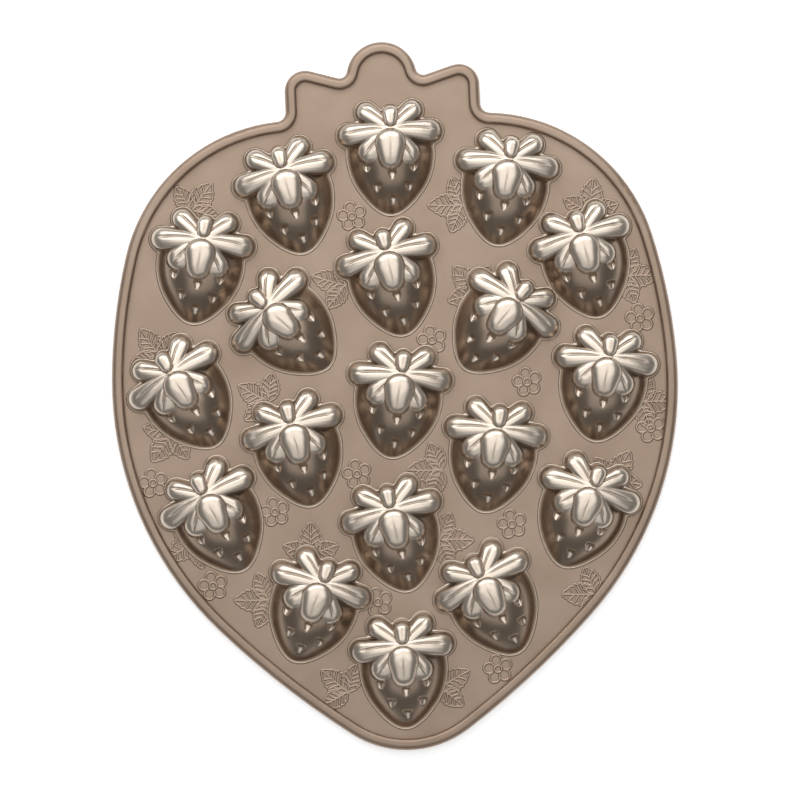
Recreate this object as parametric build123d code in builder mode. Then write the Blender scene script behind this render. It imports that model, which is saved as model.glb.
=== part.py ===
from build123d import *
from math import cos, hypot, radians, sin, sqrt
import os

# A cast mini cake pan in the outline of a big strawberry, lying with its nineteen
# strawberry moulds upwards. Millimetres. X runs across the pan, Y towards the leafy
# crown, Z up. The origin lies under the middle of the pan, on the surface it rests on.

# Flange
flange_thickness = 3.0
pan_length = 375.4
pan_half_width = 149.7
crown_peak = pan_length / 2
tip_peak = -pan_length / 2

# Strawberry outline of the pan, right half, from the tip to the shoulder
tip_corner = (30.8, -178.0)
flank = (98.7, -120.0)
widest_height = 15.0
shoulder_start = (139.5, 80.0)
shoulder_end = (46.7, 148.0)

# Leafy crown of the outline: a middle lobe, two side lobes and the neck under them
middle_lobe_radius = 18.6
side_lobe_radius = 10.9
side_lobe_height = 163.4
side_lobe_length = 15.3
side_lobe_slope = 16.7
neck_half_width = 51.6
notch_fillet = 4.0
neck_fillet = 5.0

# Raised bead along the edge
bead_width = 6.0
bead_height = 3.6
bead_outer_fillet = 3.0
bead_inner_fillet = 1.6
foot_fillet = 0.8

# Strawberry mould: dome
cup_wall = 2.5
body_half_width = 22.5
body_height = 15.0
body_flank = (16.4, 19.5)
tip_reach = 32.3
tip_end = 38.0
body_top = 18.0

# Strawberry mould: leaf crown over the dome
crown_hub = 12.0
crown_middle = 5.0
crown_height = 17.0
crown_edge_height = 5.8
crown_edge_reach = 28.0
crown_root = 5.0
side_leaf_fillet = 1.5
middle_leaf_fillet = 2.5
stem_fillet = 1.8
notch_round = 1.2
middle_leaf_lift = 1.0
stem_lift = 1.4
crease_width = 0.7
crease_depth = 0.8
crease_start = 0.3
crease_end = 0.82

# Strawberry mould: seed dimples
seed_length = 4.4
seed_width = 2.4
seed_depth = 0.9

# Each leaf: direction in degrees, reach from the hub, radius at the hub, radius at the tip
side_leaves = [
    (232.2, 21.9, 3.2, 4.7),
    (308.9, 20.7, 3.2, 4.9),
    (187.9, 28.5, 3.4, 5.4),
    (0.4, 27.6, 3.4, 5.4),
    (145.8, 22.6, 3.2, 4.6),
    (41.6, 21.7, 3.2, 4.6),
]
middle_leaf = (270.0, 18.7, 5.4, 7.2)
stem = (90.0, 12.6, 3.4, 3.9)

# Each seed: place across and along the dome
seeds = [(-12.2, -8.1), (0.8, -11.8), (11.8, -7.7), (-6.9, -18.3), (9.3, -17.8), (1.2, -24.7)]

# Each mould: place across, place along and turn in degrees, from the crown to the tip
moulds = [
    (3.0, 128.5, -2),
    (-51.5, 109.5, 12),
    (63.0, 109.5, -11),
    (-100.0, 75.0, -11),
    (0.5, 64.0, 10),
    (103.5, 69.0, 12),
    (-57.0, 40.5, 44),
    (58.0, 38.0, -40),
    (-111.5, 6.5, 29),
    (1.5, -0.5, -10),
    (110.5, 3.5, -11),
    (-53.0, -24.5, 12),
    (50.5, -31.5, -12),
    (-97.5, -59.0, 24),
    (-3.0, -71.5, 10),
    (97.0, -64.0, -23),
    (-47.5, -108.0, -23),
    (46.0, -109.0, 24),
    (-2.0, -143.5, 0),
]

# The dome's round section has its axis below the flange, which gives the sides their draft
section_radius = (body_half_width**2 + body_height**2) / (2 * body_height)
axis_depth = section_radius - body_height
flank_radius = hypot(body_flank[0], axis_depth)

# The side lobes of the outline slope down towards the middle lobe
side_lobe_middle = (
    neck_half_width - side_lobe_radius - side_lobe_length / 2 * cos(radians(side_lobe_slope)),
    side_lobe_height - side_lobe_length / 2 * sin(radians(side_lobe_slope)),
)

# The leaf crown follows a ball that falls from its height in the middle to its edge height
crown_fall = crown_height - crown_edge_height
crown_radius = (crown_edge_reach**2 + crown_fall**2) / (2 * crown_fall)


def leaf_plan(leaves, setback):
    """Plan of some leaves, each a round hub and a round tip with straight sides between them."""
    plans = []
    for direction, reach, hub_radius, tip_radius in leaves:
        with BuildSketch() as plan:
            Circle(hub_radius - setback)
            with Locations((reach - tip_radius, 0)):
                Circle(tip_radius - setback)
            make_hull()
        plans.append(Pos(0, crown_hub) * Rot(0, 0, direction) * plan.sketch)
    return plans


def leaves_part(leaves, lift, top_fillet, setback):
    """Leaves that stand from under the flange up to the ball that the leaf crown follows."""
    with BuildPart() as group:
        with BuildSketch(Plane.XY.offset(-crown_root)):
            for plan in leaf_plan(leaves, setback):
                add(plan)
        extrude(amount=crown_root + crown_height + lift)
        if setback == 0 and len(leaves) > 1:
            corners = group.edges().filter_by(Axis.Z).filter_by(lambda edge: is_notch(edge, group.faces()))
            fillet(corners, notch_round)
        with Locations((0, crown_middle, crown_height - crown_radius)):
            Sphere(crown_radius + lift - setback, mode=Mode.INTERSECT)
        if setback == 0:
            fillet(group.faces().filter_by(GeomType.SPHERE).edges(), top_fillet)
    return group.part


def is_notch(edge, faces):
    """Whether two walls of the crown meet at this upright edge at an angle."""
    walls = [face for face in faces if any(edge.is_same(side) for side in face.edges())]
    return walls[0].normal_at(edge.center()).get_angle(walls[1].normal_at(edge.center())) > 15


def set_back_end(arc, setback):
    """The end of an arc of the dome's outline, moved inwards, square to the arc."""
    return arc @ 1 + (arc % 1).rotate(Axis.Z, -90) * setback


def mould_form(setback):
    """A strawberry standing on the flange, with every surface set back by the same amount."""
    widest = (section_radius - setback, 0)
    lower = TangentArc((section_radius, 0), (flank_radius, -body_flank[1]), tangent=(0, -1))
    nose = TangentArc(lower @ 1, (axis_depth, -tip_reach), tangent=lower % 1)
    with BuildPart() as form:
        with BuildSketch(Plane.XY.offset(-axis_depth)):
            with BuildLine():
                shoulder = TangentArc(widest, (0, body_top - setback), tangent=(0, 1))
                side = TangentArc(widest, set_back_end(lower, setback), tangent=(0, -1))
                tip = TangentArc(side @ 1, set_back_end(nose, setback), tangent=side % 1)
                end = TangentArc(tip @ 1, (0, setback - tip_end), tangent=tip % 1)
                Line(end @ 1, shoulder @ 1)
            make_face()
        revolve(axis=Axis((0, 0, -axis_depth), (0, 1, 0)))
        add(leaves_part(side_leaves, 0, side_leaf_fillet, setback), clean=False)
        add(leaves_part([middle_leaf], middle_leaf_lift, middle_leaf_fillet, setback), clean=False)
        add(leaves_part([stem], stem_lift, stem_fillet, setback), clean=False)
        split(bisect_by=Plane.XY)
    return form.part


# Blank of the whole pan, cut to the strawberry outline
with BuildPart() as blank:
    with BuildSketch():
        with BuildLine():
            tip_arc = TangentArc((0, tip_peak), tip_corner, tangent=(1, 0))
            flank_arc = TangentArc(tip_arc @ 1, flank, tangent=tip_arc % 1)
            hip_arc = TangentArc(flank_arc @ 1, (pan_half_width, widest_height), tangent=flank_arc % 1)
            side_arc = TangentArc(hip_arc @ 1, shoulder_start, tangent=hip_arc % 1)
            shoulder_arc = TangentArc(side_arc @ 1, shoulder_end, tangent=side_arc % 1)
            Line(shoulder_arc @ 1, (0, shoulder_end[1]))
            mirror(about=Plane.YZ)
        make_face()
        with Locations((0, side_lobe_height)):
            neck_size = (2 * neck_half_width, 2 * (side_lobe_height - shoulder_end[1]))
            Rectangle(*neck_size, align=(Align.CENTER, Align.MAX))
        for side in (-1, 1):
            with Locations((side * side_lobe_middle[0], side_lobe_middle[1])):
                SlotCenterToCenter(side_lobe_length, 2 * side_lobe_radius, rotation=side * side_lobe_slope)
        with Locations((0, crown_peak - middle_lobe_radius)):
            Circle(middle_lobe_radius)
    extrude(amount=flange_thickness)
    notches = blank.edges().filter_by(Axis.Z).filter_by(lambda edge: is_notch(edge, blank.faces()))
    fillet(notches.filter_by(lambda edge: abs(edge.center().X) < side_lobe_middle[0]), notch_fillet)
    notches = blank.edges().filter_by(Axis.Z).filter_by(lambda edge: is_notch(edge, blank.faces()))
    fillet(notches, neck_fillet)
pan_edge = blank.faces().sort_by(Axis.Z)[-1].outer_wire()

# One mould, whose hollow has the same form, one wall inside its outer surface
hollow = mould_form(cup_wall)
hollow_mouth = hollow.faces().sort_by(Axis.Z)[0]
with BuildPart() as mould:
    add(mould_form(0))
    for across, along in seeds:
        sight = Axis((across, along, 2 * body_height), (0, 0, -1))
        point, normal = mould.part.find_intersection_points(sight)[0]
        with BuildSketch(Plane(point, x_dir=(1, 0, 0), z_dir=normal)):
            SlotOverall(seed_length, seed_width, rotation=90)
        extrude(amount=-seed_depth, mode=Mode.SUBTRACT)
    for direction, reach, _, _ in side_leaves + [middle_leaf]:
        lift = middle_leaf_lift if direction == middle_leaf[0] else 0
        outwards = Vector(1, 0).rotate(Axis.Z, direction)
        along = Vector(0, crown_middle - crown_hub).dot(outwards)
        aside = crown_hub - crown_middle
        ring = sqrt((crown_radius + lift) ** 2 - aside**2 + along**2)
        with BuildSketch(Plane((0, crown_hub, 0), x_dir=outwards, z_dir=outwards.rotate(Axis.Z, -90))):
            with Locations((reach * crease_start, 0)):
                crease_size = (reach * (crease_end - crease_start), 2 * crown_height)
                Rectangle(*crease_size, align=Align.MIN)
            with Locations((along, crown_height - crown_radius)):
                Circle(ring - crease_depth, mode=Mode.SUBTRACT)
        extrude(amount=crease_width / 2, both=True, mode=Mode.SUBTRACT)
    add(hollow, mode=Mode.SUBTRACT)
mould_places = [Pos(across, along) * Rot(0, 0, turn) for across, along, turn in moulds]
os.makedirs("parts", exist_ok=True)

# Flange, with the open mouth of each mould
with BuildPart() as flange_plate:
    add(blank.part)
    fillet(flange_plate.faces().sort_by(Axis.Z)[0].outer_wire().edges(), foot_fillet)
    with BuildSketch(Plane.XY.offset(flange_thickness)):
        for place in mould_places:
            add(place * hollow_mouth)
    extrude(amount=-flange_thickness, mode=Mode.SUBTRACT)
flange_plate.part.label = "flange_plate"
export_step(flange_plate.part, "parts/flange_plate.step", write_pcurves=False)

# Bead along the edge, standing on the flange, with its section swept round the pan
bead_start = pan_edge @ 0
bead_across = (pan_edge % 0).rotate(Axis.Z, 90)
if bead_across.dot(-bead_start) < 0:
    bead_across = -bead_across
with BuildPart() as rim_bead:
    with BuildSketch(Plane(bead_start, x_dir=bead_across, z_dir=bead_across.cross(Vector(0, 0, 1)))):
        with BuildLine():
            Line((0, 0), (0, bead_height - bead_outer_fillet))
            TangentArc((0, bead_height - bead_outer_fillet), (bead_outer_fillet, bead_height), tangent=(0, 1))
            Line((bead_outer_fillet, bead_height), (bead_width - bead_inner_fillet, bead_height))
            inner_corner = ((bead_width - bead_inner_fillet, bead_height), (bead_width, bead_height - bead_inner_fillet))
            TangentArc(*inner_corner, tangent=(1, 0))
            Line((bead_width, bead_height - bead_inner_fillet), (bead_width, 0))
            Line((bead_width, 0), (0, 0))
        make_face()
    sweep(path=pan_edge)
rim_bead.part.label = "rim_bead"
export_step(rim_bead.part, "parts/rim_bead.step", write_pcurves=False)

# Nineteen strawberry moulds, each standing over its mouth in the flange
for number, place in enumerate(mould_places, start=1):
    cup = Pos(0, 0, flange_thickness) * place * mould.part
    cup.label = f"berry_cup_{number:02d}"
    export_step(cup, f"parts/{cup.label}.step", write_pcurves=False)
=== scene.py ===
# %% [markdown]
# # A strawberry pan for nineteen small cakes
# The real pan is one casting. Liquid aluminium fills a die, and the cooled pan gets a baked
# bronze-toned non-stick coating. It lies here with its moulds upwards, as it does when the
# cakes have been turned out. The solid model gives the flange, the bead along its edge and
# the hollow behind each mould. This lesson adds what a solid modeller leaves out: the soft
# leaves and seeds of each mould, the fine raised lines of the flange, and the coating.

# %% Load the solid model
import math

import bpy
import numpy as np
from mathutils import Matrix, Vector
from mathutils.bvhtree import BVHTree


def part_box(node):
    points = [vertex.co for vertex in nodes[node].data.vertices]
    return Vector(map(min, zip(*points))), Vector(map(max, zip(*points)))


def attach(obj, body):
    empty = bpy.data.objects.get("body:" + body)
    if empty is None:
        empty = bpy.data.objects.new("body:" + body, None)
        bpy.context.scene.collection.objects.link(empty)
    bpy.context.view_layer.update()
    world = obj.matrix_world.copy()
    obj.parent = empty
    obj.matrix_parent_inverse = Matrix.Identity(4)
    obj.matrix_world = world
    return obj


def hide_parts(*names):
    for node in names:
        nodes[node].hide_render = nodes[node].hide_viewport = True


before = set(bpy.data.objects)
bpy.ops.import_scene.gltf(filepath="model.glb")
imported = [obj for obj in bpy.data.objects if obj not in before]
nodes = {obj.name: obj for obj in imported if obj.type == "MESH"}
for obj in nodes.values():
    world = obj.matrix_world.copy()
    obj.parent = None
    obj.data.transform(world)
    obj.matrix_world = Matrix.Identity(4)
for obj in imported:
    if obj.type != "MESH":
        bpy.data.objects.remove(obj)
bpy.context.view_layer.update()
MM = 0.001
flange_low, flange_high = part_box("flange_plate")
flange_top = flange_high.z / MM
print("solid pieces", len(nodes), "flange top in mm", round(flange_top, 2))

# %% [markdown]
# ## The shape of one mould
# A casting has to leave its die, so no part of it hangs over: seen from above, each point
# has one height. That makes a mould a landscape, and a landscape can be written as a height
# for each place. The dome is a round section that grows and shrinks along its middle line.
# Four arcs give its sides, as in the solid model. All sizes here are in millimetres.

# %% The dome's sides
body_height = 15.0
body_half_width = 22.5
axis_depth = (body_half_width**2 - body_height**2) / (2 * body_height)
section_radius = body_height + axis_depth
# along the berry from its widest place: its shoulder, the end of its flank, its tip on the
# flange, and the end of the profile under the flange
shoulder_end = 18.0
flank_end, flank_half_width = -19.5, 16.4
tip_on_flange = -32.3
profile_end = -38.0


def arc_points(start, end, direction, steps=24):
    """Points of the arc that leaves start in a direction and ends at end, and its last direction."""
    start, end, direction = (np.array(v, float) for v in (start, end, direction))
    normal = np.array([-direction[1], direction[0]])
    chord = end - start
    sweep = 2 * math.atan2(chord @ normal, chord @ direction)
    centre = start + normal * (chord @ chord) / (2 * (chord @ normal))
    arm = start - centre
    points = []
    for t in np.linspace(0, sweep, steps):
        points.append(centre + (arm[0] * math.cos(t) - arm[1] * math.sin(t),
                                arm[0] * math.sin(t) + arm[1] * math.cos(t)))
    turned = (direction[0] * math.cos(sweep) - direction[1] * math.sin(sweep),
              direction[0] * math.sin(sweep) + direction[1] * math.cos(sweep))
    return np.array(points), turned


flank_radius = math.hypot(flank_half_width, axis_depth)
shoulder, _ = arc_points((section_radius, 0), (0, shoulder_end), (0, 1))
side, heading = arc_points((section_radius, 0), (flank_radius, flank_end), (0, -1))
nose, heading = arc_points((flank_radius, flank_end), (axis_depth, tip_on_flange), heading)
nose_end, _ = arc_points((axis_depth, tip_on_flange), (0, profile_end), heading)
profile = np.vstack([nose_end[::-1], nose[::-1], side[::-1], shoulder])


def dome_height(x, y):
    """Height of the berry's body over the flange. It is negative outside the body."""
    radius = np.interp(y, profile[:, 1], profile[:, 0])
    return np.sqrt(np.maximum(radius**2 - x**2, 0)) - axis_depth


print("body height at its middle", float(dome_height(np.array(0.0), np.array(0.0))))

# %% [markdown]
# ## Leaves, stem and seeds
# Six side leaves and one middle leaf spread from a hub over the upper part of the body, and
# a short stem stands behind the middle leaf. Each is a puffy pillow with round ends, and a
# fine crease runs along each leaf. A leaf's plan is a circle at either end with straight sides
# between them. Its height follows a big ball and rolls down steeply at the edge. The seeds are
# dimples, deep at their upper end and running out to a point. The coating gets a painted
# highlight from 0 to 1 at each place: high on the leaves and seed floors, low at edges and creases.

# %% Leaf crown
hub = (0.0, 12.0)
ball_middle = 5.0
ball_radius = 60.0
ball_height = 15.6
mould_limit = 18.0
# direction in degrees, start and end from the hub, radius at the start, radius at the end
side_leaves = [
    (143.0, 0.0, 21.6, 3.0, 5.6),
    (43.0, 0.0, 21.2, 3.0, 5.6),
    (186.5, 0.0, 28.2, 3.3, 6.3),
    (-1.0, 0.0, 27.4, 3.3, 6.3),
    (227.0, 0.0, 22.8, 4.6, 6.6),
    (306.0, 0.0, 22.4, 4.6, 6.6),
]
side_leaf_lifts = (-0.5, -0.5, 0.0, 0.0, 0.2, 0.2)
middle_leaf = (270.0, 7.6, 21.4, 8.2, 6.4)
stem = (90.0, 4.4, 13.0, 3.6, 4.3)
crease_bow = 1.4
# leaf, lift over the ball, how far its edge rolls down, and its crease's depth and bow
crown = []
for leaf, lift in zip(side_leaves, side_leaf_lifts):
    crown.append((leaf, lift, 3.4, 0.6, math.copysign(crease_bow, math.cos(math.radians(leaf[0])))))
crown += [(middle_leaf, 2.6, 3.6, 0.2, 0.0), (stem, 2.4, 3.2, 0.0, 0.0)]
# a crease is a sharp line with soft sides, and along it the coating is painted darker as painted shade
crease_half_width, crease_side_width, crease_shade_width = 0.5, 1.9, 0.6
crease_side_share, crease_painted_shade = 0.6, 0.5
# shares of a leaf's length between which its crease fades in and fades out
crease_fades_in, crease_fades_out = (0.15, 0.40), (0.92, 0.72)
# how a leaf's edge rolls down, how far from its middle its painted highlight is full before painted shade
# darkens the edge, and no leaf at all
roundness = 2.2
leaf_highlight_share = 0.76
no_leaf = -20.0
# across and along each seed
seeds = [(-12.2, -8.1), (0.8, -11.8), (11.8, -7.7), (-6.9, -18.3), (9.3, -17.8), (1.2, -24.7)]
seed_low, seed_high = -3.0, 2.2
seed_point, seed_half_width = 0.3, 1.9
seed_deepest = 2.9
seed_painted_highlight = 0.75
# shares of a seed's length from its point: the painted highlight on its floor grows up to the first,
# is full up to the second and gone from the third, and its steep upper wall starts at the last
seed_highlight_start, seed_highlight_end, seed_highlight_gone = 0.15, 0.64, 0.74
seed_wall_start = 0.78


def ramp(value, start, end):
    """How far a value is on its way from start to end, kept between 0 and 1."""
    return np.clip((value - start) / (end - start), 0, 1)


def leaf_places(x, y, leaf):
    """How far each place lies along a leaf and across it, and how near its edge, from 0 to 1."""
    direction, start, reach, hub_radius, tip_radius = leaf
    turn = math.radians(direction)
    along = (x - hub[0]) * math.cos(turn) + (y - hub[1]) * math.sin(turn) - start
    across = -(x - hub[0]) * math.sin(turn) + (y - hub[1]) * math.cos(turn)
    length = reach - tip_radius - start
    lean = (hub_radius - tip_radius) / length
    upright = math.sqrt(1 - lean**2)
    foot = -lean * np.abs(across) + upright * along
    outside = upright * np.abs(across) + lean * along - hub_radius
    outside = np.where(foot < 0, np.hypot(across, along) - hub_radius, outside)
    past_tip = foot > upright * length
    outside = np.where(past_tip, np.hypot(across, along - length) - tip_radius, outside)
    half_width = hub_radius + (tip_radius - hub_radius) * np.clip(along / length, 0, 1)
    return along, across, 1 + outside / half_width


def leaf_height(x, y, leaf, lift, puff, crease, bow):
    """Height of one leaf over the flange, or a deep value outside it, and its painted highlight, with
    painted shade at its edge and crease.
    """
    along, across, edge = leaf_places(x, y, leaf)
    far = x**2 + (y - ball_middle) ** 2
    ball = np.sqrt(np.maximum(ball_radius**2 - far, 0)) - ball_radius + ball_height + lift
    fall = puff * (1 - np.sqrt(1 - np.clip(edge, 0, 1) ** roundness))
    _, start, reach, hub_radius, _ = leaf
    share = (along + hub_radius) / (reach - start + hub_radius)
    window = ramp(share, *crease_fades_in) * ramp(share, *crease_fades_out)
    line = across - bow * np.sin(np.clip(share, 0, 1) * math.pi)
    sharp, soft, dark = (
        np.exp(-((line / width) ** 2)) for width in (crease_half_width, crease_side_width, crease_shade_width)
    )
    groove = crease * window * (sharp + crease_side_share * soft)
    # painted highlight: full in the leaf's middle, with painted shade towards its edge and a darker painted
    # line along its crease
    painted_highlight = ramp(edge, 1, leaf_highlight_share) * (1 - crease_painted_shade * window * dark)
    return np.where(edge < 1, ball - fall - groove, no_leaf), painted_highlight


def seed_dimples(x, y):
    """How deep the seed dimples lie under the dome, and the painted highlight on their sloping floors."""
    depth, floor_highlight = np.zeros_like(x), np.zeros_like(x)
    for across, along in seeds:
        t = ramp(y - along, seed_low, seed_high)
        half_width = seed_point + seed_half_width * np.sin(t * math.pi * 0.6) ** 1.2
        deep = seed_deepest * t**1.1 * ramp(t, 1, seed_wall_start) ** 0.7
        section = np.clip(1 - ((x - across) / half_width) ** 4, 0, 1)
        depth += deep * section
        floor_share = ramp(t, 0, seed_highlight_start) * ramp(t, seed_highlight_gone, seed_highlight_end)
        # painted highlight on the seed's sloping floor, which faces the lamps
        floor_highlight += seed_painted_highlight * section * floor_share
    return depth, floor_highlight


def mould_height(x, y):
    """Height of the whole mould over the flange, and the painted highlight of each place."""
    depth, highlight_paint = seed_dimples(x, y)
    height = dome_height(x, y) - depth
    for leaf_layer in crown:
        top, painted_highlight = leaf_height(x, y, *leaf_layer)
        highlight_paint = np.where(top > height, painted_highlight, highlight_paint)
        height = np.maximum(height, top)
    return np.minimum(height, mould_limit), highlight_paint


# %% [markdown]
# ## The ball that becomes a mould
# A mould is a shell: an outside, a lip that lies on the flange, and a hollow. A ball has the
# same make-up, with rings of points from its top pole to its bottom pole. So a ball is added,
# and each ring is pushed to its place. The upper rings become the outside, a few below them
# the lip, and the lowest the hollow. The poles stay closed and every face points outwards,
# with no seam to mend. The outline is found along rays from the hub, where the side leaves
# begin: it is the farthest place on each ray that still stands over the flange.

# %% Outlines along the rays
segments = 360
outer_rings = 72
lip_rings = 7
inner_rings = 20
lip_width = 1.4
lip_height = 0.6
# the lip around each mould gets a painted highlight, a bright outline along its edge
lip_painted_highlight = 0.8
skirt = 0.5
wall = 2.4
edge_crowding = 0.10
angles = np.arange(segments) * 2 * math.pi / segments
ray_x, ray_y = np.cos(angles), np.sin(angles)


def place_on_ray(radius):
    """Places at these distances from the hub, one for each ray."""
    return hub[0] + ray_x * radius, hub[1] + ray_y * radius


def rounded(radius, times):
    """The outline with its sharp inner corners rounded a little."""
    for _ in range(times):
        radius = (np.roll(radius, 1) + 2 * radius + np.roll(radius, -1)) / 4
    return radius


def last_above(heights, steps):
    """The largest step on each ray at which the height is still above the flange."""
    above = heights > 0
    return steps[above.shape[0] - 1 - np.argmax(above[::-1], axis=0)]


longest_ray, ray_step = 50, 0.05
steps = np.arange(0, longest_ray, ray_step)
ray_points = [place_on_ray(step) for step in steps]
grid_x = np.array([p[0] for p in ray_points])
grid_y = np.array([p[1] for p in ray_points])
outline = rounded(last_above(mould_height(grid_x, grid_y)[0], steps), 2)
edge_x, edge_y = place_on_ray(outline)


def distance_to_edge(x, y):
    """Distance from places to the mould's outline."""
    flat = np.stack([np.ravel(x), np.ravel(y)], axis=1)
    gap = np.hypot(flat[:, :1] - edge_x, flat[:, 1:] - edge_y).min(axis=1)
    return gap.reshape(np.shape(x))


longest_reach, reach_step = 7, 0.1
reaches = np.arange(0, longest_reach, reach_step)
beyond = np.array([distance_to_edge(*place_on_ray(outline + reach)) for reach in reaches])
lip_outline = outline + reaches[np.argmax(beyond >= lip_width, axis=0)]
lip_outline = rounded(lip_outline, 3)
print("mould outline from", round(outline.min(), 1), "to", round(outline.max(), 1), "mm")


# %% Hollow one wall inside the mould
# radius of each circle of places in the rolled ball, and how many places lie on it
sample_circles = ((0.8, 8), (1.6, 14), (2.35, 20))
disc = [(0.0, 0.0)]
for circle, count in sample_circles:
    for turn in np.arange(count) * 2 * math.pi / count:
        disc.append((circle * math.cos(turn), circle * math.sin(turn)))


def hollow_height(x, y):
    """Height of the hollow: a ball as big as the wall, rolled under the outer surface, bounds it."""
    lowest = np.full(np.shape(x), mould_limit)
    for dx, dy in disc:
        shell = mould_height(x + dx, y + dy)[0] - math.sqrt(wall**2 - dx**2 - dy**2)
        lowest = np.minimum(lowest, shell)
    return lowest


coarse = slice(None, None, 5)
hollow_outline = rounded(last_above(hollow_height(grid_x[coarse], grid_y[coarse]), steps[coarse]), 2)
print("hollow outline from", round(hollow_outline.min(), 1), "to", round(hollow_outline.max(), 1), "mm")

# %% Rings of the mould
ring_x, ring_y, ring_z, ring_painted_highlight = [], [], [], []


def add_ring(x, y, z, highlight_paint=0.0):
    """One more ring of points, from the top pole downwards."""
    ring_x.append(x)
    ring_y.append(y)
    ring_z.append(z)
    ring_painted_highlight.append(np.broadcast_to(highlight_paint, x.shape))


def spread(share):
    """Rings lie a little closer together near the edge, where the sides are steep."""
    return share + edge_crowding * share * (1 - share)


for ring in range(outer_rings + 1):
    x, y = place_on_ray(outline * spread(ring / outer_rings))
    z, highlight_paint = mould_height(x, y)
    add_ring(x, y, np.maximum(z, 0) if ring < outer_rings else np.zeros(segments), highlight_paint)
for ring in range(1, lip_rings + 1):
    share = ring / lip_rings
    x, y = place_on_ray(outline + (lip_outline - outline) * share)
    add_ring(x, y, np.full(segments, lip_height * np.sin(share * math.pi) ** 1.5), lip_painted_highlight)
for skirt_outline in (lip_outline, hollow_outline):
    add_ring(*place_on_ray(skirt_outline), np.full(segments, -skirt))
for ring in range(inner_rings, -1, -1):
    x, y = place_on_ray(hollow_outline * spread(ring / inner_rings))
    add_ring(x, y, np.maximum(hollow_height(x, y), 0))
ring_x, ring_y, ring_z, ring_painted_highlight = (np.array(v) for v in (ring_x, ring_y, ring_z, ring_painted_highlight))
print("rings", len(ring_x), "highest point", round(float(ring_z.max()), 2), "mm over the flange")

# %% Ball pushed to the rings
ring_count = len(ring_x) - 1
bpy.ops.object.select_all(action="DESELECT")
bpy.ops.mesh.primitive_uv_sphere_add(segments=segments, ring_count=ring_count, radius=1)
mould = bpy.context.object
mould.name = "mould_master"
places = np.zeros(len(mould.data.vertices) * 3)
mould.data.vertices.foreach_get("co", places)
places = places.reshape(-1, 3)
ring_of = np.rint(np.arccos(np.clip(places[:, 2], -1, 1)) / math.pi * ring_count).astype(int)
turn_share = np.arctan2(places[:, 1], places[:, 0]) / (2 * math.pi)
ray_of = np.rint(turn_share * segments).astype(int) % segments
painted_highlight = ring_painted_highlight[ring_of, ray_of].astype(np.float32)
places = np.stack([ring_x[ring_of, ray_of], ring_y[ring_of, ray_of], ring_z[ring_of, ray_of]], axis=1)
places[:, 2] += flange_top
mould.data.vertices.foreach_set("co", (places * MM).ravel())
# each point's painted highlight goes to the coating as an attribute
mould.data.attributes.new("painted_highlight", "FLOAT", "POINT").data.foreach_set("value", painted_highlight)
mould.data.update()
bpy.ops.object.shade_smooth()
print("one mould has", len(mould.data.polygons), "faces")

# %% [markdown]
# ## Nineteen moulds
# The moulds stand in rows across the pan, turned this way and that, as if strewn. One is
# modelled, and all nineteen are copies with a mesh of their own, turned and moved in that
# mesh, so that every piece keeps its own place.

# %% Copies of the mould
# across, along, turn in degrees
mould_places = [
    (3.0, 128.5, -2), (-51.5, 109.5, 12), (63.0, 109.5, -11), (-100.0, 75.0, -11),
    (0.5, 64.0, 10), (103.5, 69.0, 12), (-57.0, 40.5, 44), (58.0, 38.0, -40),
    (-111.5, 6.5, 29), (1.5, -0.5, -10), (110.5, 3.5, -11), (-53.0, -24.5, 12),
    (50.5, -31.5, -12), (-97.5, -59.0, 24), (-3.0, -71.5, 10), (97.0, -64.0, -23),
    (-47.5, -108.0, -23), (46.0, -109.0, 24), (-2.0, -143.5, 0),
]
mould_pieces = []
for number, (across, along, turn) in enumerate(mould_places, start=1):
    piece = mould.copy()
    piece.data = mould.data.copy()
    piece.name = piece.data.name = f"berry_mould_{number:02d}"
    bpy.context.scene.collection.objects.link(piece)
    move = Matrix.Translation((across * MM, along * MM, 0))
    piece.data.transform(move @ Matrix.Rotation(math.radians(turn), 4, "Z"))
    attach(piece, "root")
    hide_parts(f"berry_cup_{number:02d}")
    mould_pieces.append(piece)
bpy.data.objects.remove(mould)
print("moulds", len(mould_pieces))

# %% [markdown]
# ## Raised lines on the flange
# Between the moulds the die is engraved with small five-petalled blossoms and with toothed
# strawberry leaves, which stand on the flange as fine raised lines. A line with a round
# section is what a curve with a bevel gives, so each ornament is drawn as curves on the
# flange's surface and then made a mesh, pressed flat to a low ridge. Where a mould or the
# bead covers the drawing, the line stops.

# %% Where the flange is open
flange_tree = BVHTree.FromObject(nodes["flange_plate"], bpy.context.evaluated_depsgraph_get())
bead_tree = BVHTree.FromObject(nodes["rim_bead"], bpy.context.evaluated_depsgraph_get())
DOWN = Vector((0, 0, -1))
above_pan = 50.0
# farthest point of a mould from its middle, how far a line may reach into the lip, and how
# near the flange's top a place has to be to lie on it
mould_reach = 46
lip_overlap = 0.3
same_height = 0.05


def flange_is_open(x, y):
    """Whether the flange's top shows at a place, between the moulds and inside the bead."""
    for across, along, turn in mould_places:
        if math.hypot(x - across, y - along) > mould_reach:
            continue
        t = math.radians(turn)
        local_x = (x - across) * math.cos(t) + (y - along) * math.sin(t) - hub[0]
        local_y = -(x - across) * math.sin(t) + (y - along) * math.cos(t) - hub[1]
        ray = int(round(math.atan2(local_y, local_x) / (2 * math.pi) * segments)) % segments
        if math.hypot(local_x, local_y) < lip_outline[ray] - lip_overlap:
            return False
    above = Vector((x, y, above_pan)) * MM
    if bead_tree.ray_cast(above, DOWN)[0] is not None:
        return False
    hit = flange_tree.ray_cast(above, DOWN)[0]
    return hit is not None and abs(hit.z / MM - flange_top) < same_height


def open_runs(line):
    """The stretches of a line that lie on the open flange."""
    runs, run = [], []
    for x, y in line:
        if flange_is_open(x, y):
            run.append((x, y))
        else:
            runs.append(run)
            run = []
    runs.append(run)
    return [r for r in runs if len(r) > 2]


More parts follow.
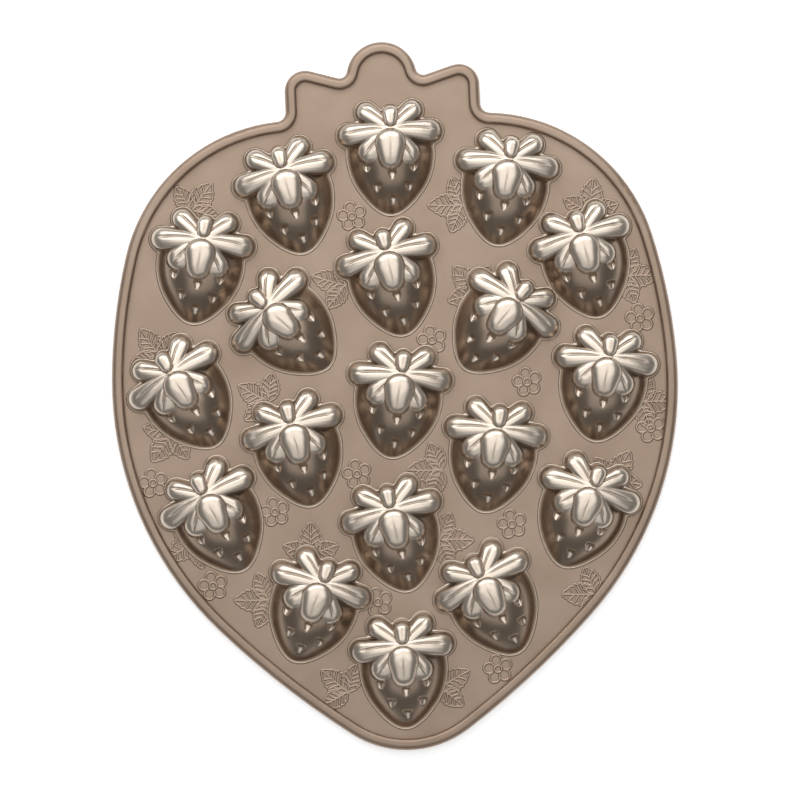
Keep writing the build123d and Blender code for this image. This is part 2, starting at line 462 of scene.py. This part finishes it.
# %% Drawing of a blossom and of a leaf
petals = 5
# radius of a blossom's middle and of a petal, as shares of its own, and half of a petal's arc
# in half turns
middle_share, petal_share = 0.25, 0.37
petal_arc = 0.80
# of a leaf's length: where its teeth start and the room for them, and how much of it one fills
teeth_start, teeth_room, tooth_fill = 0.06, 0.9, 0.85
# of a leaf's half width: the edge at a tooth's root and at its tip, and the end of a side rib
tooth_root, tooth_tip, rib_reach = 0.86, 1.05, 0.84
# powers that set a leaf's widest place before its middle and make its ends full
leaf_lead, leaf_fullness = 0.85, 0.75
# of a leaf's length: both ends of its middle rib and how far that bows out
middle_rib_start, middle_rib_end, middle_rib_bow = -0.06, 0.97, 0.015
# of a leaf's length: the room for the roots of the side ribs, where it starts, and how far
# along its tooth a rib ends. A side rib bends at a share of its reach.
roots_start, roots_room, rib_fill = 0.04, 0.86, 0.95
rib_bend = 0.42


def fine(points, step=0.6):
    """The same line with a point at each small step."""
    points = np.array(points, float)
    made = [points[0]]
    for a, b in zip(points[:-1], points[1:]):
        count = max(1, int(np.hypot(*(b - a)) / step))
        made += [a + (b - a) * i / count for i in range(1, count + 1)]
    return np.array(made)


def blossom_lines(radius):
    """Five round petals about a round middle."""
    ring = np.linspace(0, 2 * math.pi, 19)
    middle = middle_share * radius
    lines = [np.stack([middle * np.cos(ring), middle * np.sin(ring)], axis=1)]
    petal = petal_share * radius
    for k in range(petals):
        turn = math.radians(90 + k * 360 / petals)
        centre = np.array([math.cos(turn), math.sin(turn)]) * (radius - petal)
        arc = turn + np.linspace(-petal_arc, petal_arc, 17) * math.pi
        lines.append(centre + petal * np.stack([np.cos(arc), np.sin(arc)], axis=1))
    return lines


def leaf_lines(length, width, teeth=6):
    """A leaf with a toothed edge, a middle rib and side ribs, along +X from its stalk."""

    def half_width(t):
        """Half the leaf's width at a share of its length, widest before the middle."""
        return width / 2 * math.sin(math.pi * min(max(t, 0), 1) ** leaf_lead) ** leaf_fullness

    middle_rib = [(middle_rib_start, 0), (0.5, middle_rib_bow), (middle_rib_end, 0)]
    lines = [fine(np.array(middle_rib) * length)]
    for up in (-1, 1):
        edge = [(0, 0)]
        for k in range(teeth):
            start = teeth_start + teeth_room * k / teeth
            end = teeth_start + teeth_room * (k + tooth_fill) / teeth
            edge.append((start * length, up * tooth_root * half_width(start)))
            edge.append((end * length, up * tooth_tip * half_width(end)))
        edge.append((length, 0))
        lines.append(fine(edge))
        for k in range(1, teeth - 1):
            root = roots_start + roots_room * k / teeth
            tip = roots_start + teeth_room * (k + rib_fill) / teeth
            reach = rib_reach * up * half_width(tip)
            bend = ((root + tip) / 2 * length, reach * rib_bend)
            lines.append(fine([(root * length, 0), bend, (tip * length, reach)]))
    return lines


def placed(lines, x, y, turn):
    """Lines turned and moved to their place on the flange."""
    t = math.radians(turn)
    spin = np.array([[math.cos(t), math.sin(t)], [-math.sin(t), math.cos(t)]])
    return [line @ spin + (x, y) for line in lines]


# %% Ornament places
# blossoms: across, along
blossom_places = [
    (-18.9, 96.3), (131.3, 35.6), (70.0, 4.4), (20.6, 28.8), (-130.4, -40.5), (-101.0, -96.4),
    (58.7, -70.5), (134.5, -22.9), (48.0, -146.9), (-66.5, -58.6), (-22.2, -40.4), (-14.0, -108.7),
]
# leaves: across and along of the stalk, direction in degrees
leaf_stalks = [
    (-103.5, 102.7, 52), (-123.8, 26.1, 122), (-24.2, 59.9, 162), (-67.6, -0.2, 148), (39.6, 99.6, 178),
    (107.2, 92.9, 82), (45.0, 53.2, 128), (123.8, 58.3, -2), (-119.2, -15.0, 232), (-109.0, -71.6, 212),
    (-72.2, -105.1, 178), (-32.0, -155.6, 138), (-48.4, -82.8, 88), (20.2, -77.3, -2), (101.6, -109.5, 178),
    (16.8, -155.6, 28), (113.2, -50.0, 58), (22.4, -40.2, 178), (129.3, -8.8, -2),
]
blossom_radius, blossom_turn = 7.6, 10
# direction from the stalk and length of each leaflet, and a leaflet's width for its length
leaflets = ((0, 18.0), (-68, 15.5), (68, 15.5))
leaflet_width = 0.66
# half the width of a ridge, and how high it stands for that
blossom_ridge, leaf_ridge = 0.75, 0.68
ridge_flatness = 0.6


def raised_piece(name, lines, ridge):
    """A mesh of low round ridges along lines on the flange."""
    bpy.ops.object.select_all(action="DESELECT")
    bpy.ops.curve.primitive_nurbs_path_add()
    drawing = bpy.context.object
    drawing.data.splines.clear()
    drawing.data.dimensions = "3D"
    drawing.data.bevel_depth = ridge * MM
    drawing.data.bevel_resolution = 2
    for line in lines:
        for run in open_runs(line):
            spline = drawing.data.splines.new("POLY")
            spline.points.add(len(run) - 1)
            for point, (x, y) in zip(spline.points, run):
                point.co = (x * MM, y * MM, 0, 1)
    bpy.ops.object.convert(target="MESH")
    piece = bpy.context.object
    piece.name = piece.data.name = name
    piece.data.transform(Matrix.Scale(ridge_flatness, 4, (0, 0, 1)))
    piece.data.transform(Matrix.Translation((0, 0, flange_top * MM)))
    bpy.ops.object.shade_smooth()
    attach(piece, "root")
    print(name, "faces", len(piece.data.polygons))
    return piece


blossoms = []
for x, y in blossom_places:
    blossoms += placed(blossom_lines(blossom_radius), x, y, blossom_turn)
leaves = []
for x, y, turn in leaf_stalks:
    for leaflet, length in leaflets:
        leaves += placed(leaf_lines(length, leaflet_width * length), x, y, turn + leaflet)
blossom_piece = raised_piece("blossom_lines", blossoms, blossom_ridge)
leaf_piece = raised_piece("leaf_lines", leaves, leaf_ridge)

# %% [markdown]
# ## The coating
# The finish is a baked non-stick coating with bronze flakes on cast aluminium. It shines
# softly like metal, with a fine even grain from the sprayed flakes, and it is slightly
# uneven in tone. The metallic shader gives the sheen. Small noise, at the scale of the
# grain, tilts the surface, and a larger and weaker noise changes the tone.

# %% Helpers for materials
def linear(hex_colour):
    """A colour written as sRGB hex, as the linear values that a shader takes."""
    channels = [int(hex_colour[i:i + 2], 16) / 255 for i in (1, 3, 5)]
    return [c / 12.92 if c <= 0.04045 else ((c + 0.055) / 1.055) ** 2.4 for c in channels] + [1.0]


def add_node(tree, kind, settings=None, **inputs):
    """A node with its settings, and its inputs as values or as links from other nodes' outputs."""
    node = tree.nodes.new(kind)
    for name, value in (settings or {}).items():
        setattr(node, name, value)
    for name, value in inputs.items():
        socket = node.inputs[int(name[1:])] if name[1:].isdigit() else node.inputs[name.replace("_", " ")]
        if isinstance(value, bpy.types.NodeSocket):
            tree.links.new(value, socket)
        else:
            socket.default_value = value
    return node


# %% Coating on the flange, and on the moulds with a painted highlight
def coating_material(name, dark, light, roughness, grain_height, highlight_paint=None):
    """Bronze-toned non-stick coating, painted a brighter tone as a highlight where a mould's painted
    highlight value is high.
    """
    material = bpy.data.materials.new(name)
    material.use_nodes = True
    tree = material.node_tree
    tree.nodes.clear()
    grain_size, cloud_size = 0.5 * MM, 30 * MM
    grain_roughness = 0.04
    place = add_node(tree, "ShaderNodeTexCoord")
    grain = add_node(tree, "ShaderNodeTexNoise", Vector=place.outputs["Object"], Scale=1 / grain_size,
                     Detail=2.0)
    cloud = add_node(tree, "ShaderNodeTexNoise", Vector=place.outputs["Object"], Scale=1 / cloud_size,
                     Detail=3.0)
    tone = add_node(tree, "ShaderNodeValToRGB", Fac=cloud.outputs["Fac"])
    tone.color_ramp.elements[0].position = 0.3
    tone.color_ramp.elements[0].color = linear(dark)
    tone.color_ramp.elements[1].position = 0.7
    tone.color_ramp.elements[1].color = linear(light)
    colour = tone.outputs["Color"]
    if highlight_paint:
        painted_highlight = add_node(tree, "ShaderNodeAttribute", {"attribute_name": "painted_highlight"})
        mixed = add_node(tree, "ShaderNodeMix", {"data_type": "RGBA"}, _0=painted_highlight.outputs["Fac"],
                         _6=colour, _7=linear(highlight_paint))
        colour = mixed.outputs[2]
    gloss = add_node(tree, "ShaderNodeMapRange", Value=grain.outputs["Fac"],
                     To_Min=roughness - grain_roughness, To_Max=roughness + grain_roughness)
    bump = add_node(tree, "ShaderNodeBump", Height=grain.outputs["Fac"], Strength=0.5,
                    Distance=grain_height * MM)
    shader = add_node(tree, "ShaderNodeBsdfPrincipled", Base_Color=colour, Metallic=0.92,
                      Roughness=gloss.outputs["Result"], Normal=bump.outputs["Normal"])
    add_node(tree, "ShaderNodeOutputMaterial", Surface=shader.outputs["BSDF"])
    return material


# the moulds' coating mixes in the last colour as a painted highlight on leaves, seed floors and lips
mould_coating = coating_material("satin_bronze_coating", "#9C8A79", "#A79585", 0.29, 0.008, "#D6C9BA")
flange_coating = coating_material("grained_bronze_coating", "#9A8675", "#A59181", 0.44, 0.06)
line_coating = coating_material("satin_line_coating", "#A08C7B", "#AB9787", 0.30, 0.008)
new_pieces = [(piece, mould_coating) for piece in mould_pieces]
new_pieces += [(blossom_piece, line_coating), (leaf_piece, line_coating)]
for piece, coating in new_pieces:
    piece.data.materials.clear()
    piece.data.materials.append(coating)
for name in ("flange_plate", "rim_bead"):
    for slot in nodes[name].material_slots:
        slot.material = flange_coating
print("new pieces coated", len(new_pieces))

# %% [markdown]
# ## Floor, light and camera
# The pan lies on a white table under a big soft window of light behind its leafy crown, with
# a wide weaker light overhead and a weak one on the side of the tips. The crown side of each
# form shines and the tip side stays dark. The floor is white to the camera and in reflections,
# and it keeps the pan's shadow. The room is white at the horizon, behind the pan in a low
# view, and dim higher up, so that the metal has something dark to reflect.

# %% Floor
bpy.ops.mesh.primitive_plane_add(size=6, location=(0, 0, 0))
floor = bpy.context.object
floor.name = "table_top"
white = bpy.data.materials.new("white_table")
white.use_nodes = True
tree = white.node_tree
tree.nodes.clear()
rays = add_node(tree, "ShaderNodeLightPath")
seen = add_node(tree, "ShaderNodeMath", {"operation": "MAXIMUM"}, _0=rays.outputs["Is Camera Ray"],
                _1=rays.outputs["Is Glossy Ray"])
seen = add_node(tree, "ShaderNodeMath", {"operation": "MAXIMUM"}, _0=seen.outputs[0],
                _1=rays.outputs["Is Transmission Ray"])
table_glow = 0.45
glow_share = add_node(tree, "ShaderNodeMath", {"operation": "MULTIPLY"}, _0=seen.outputs[0], _1=table_glow)
paint = add_node(tree, "ShaderNodeBsdfDiffuse", Color=linear("#EFEFEF"))
glow = add_node(tree, "ShaderNodeEmission", Color=linear("#FFFFFF"), Strength=glow_share.outputs[0])
both = add_node(tree, "ShaderNodeAddShader", _0=paint.outputs[0], _1=glow.outputs[0])
add_node(tree, "ShaderNodeOutputMaterial", Surface=both.outputs[0])
floor.data.materials.append(white)

# %% Room
# the room is white up to the first height of a view and dim from the second, where 0 is level
# and 1 is straight up
white_height, dim_height = 0.05, 0.14
dim_room = 0.15
world = bpy.context.scene.world or bpy.data.worlds.new("room")
bpy.context.scene.world = world
world.use_nodes = True
tree = world.node_tree
tree.nodes.clear()
direction = add_node(tree, "ShaderNodeTexCoord")
upward = add_node(tree, "ShaderNodeSeparateXYZ", Vector=direction.outputs["Generated"])
level = add_node(tree, "ShaderNodeMapRange", Value=upward.outputs["Z"], From_Min=white_height,
                 From_Max=dim_height, To_Min=1.0, To_Max=dim_room)
room = add_node(tree, "ShaderNodeBackground", Color=linear("#FFFFFF"), Strength=level.outputs["Result"])
add_node(tree, "ShaderNodeOutputWorld", Surface=room.outputs[0])


# %% Lamps
def soft_lamp(name, place, size, brightness):
    """A rectangular lamp aimed at the pan. Brightness is what a mirror would show of it."""
    bpy.ops.object.light_add(type="AREA", location=place)
    lamp = bpy.context.object
    lamp.name = name
    lamp.data.shape = "RECTANGLE"
    lamp.data.size, lamp.data.size_y = size
    lamp.data.energy = brightness * math.pi * size[0] * size[1]
    lamp.rotation_euler = (-Vector(place)).to_track_quat("-Z", "Y").to_euler()


soft_lamp("window_light", (-0.1, 0.95, 0.8), (2.0, 0.5), 3.0)
soft_lamp("overhead_light", (0, 0.42, 1.9), (3.0, 1.6), 1.35)
soft_lamp("room_light", (0, -0.95, 1.6), (2.4, 1.2), 0.6)

# %% Camera
camera_data = bpy.data.cameras.new("camera")
camera = bpy.data.objects.new("camera", camera_data)
bpy.context.scene.collection.objects.link(camera)
camera_height = 1.6
picture_width = 0.424
picture_middle, picture_turn = (2.3, -2.2), -2.5
camera_data.sensor_width = 36
camera_data.lens = camera_data.sensor_width * camera_height / picture_width
camera.location = (picture_middle[0] * MM, picture_middle[1] * MM, camera_height + flange_top * MM)
camera.rotation_euler = (0, 0, math.radians(picture_turn))
bpy.context.scene.camera = camera
bpy.context.scene.view_settings.view_transform = "Standard"
print("lens", round(camera_data.lens, 1))
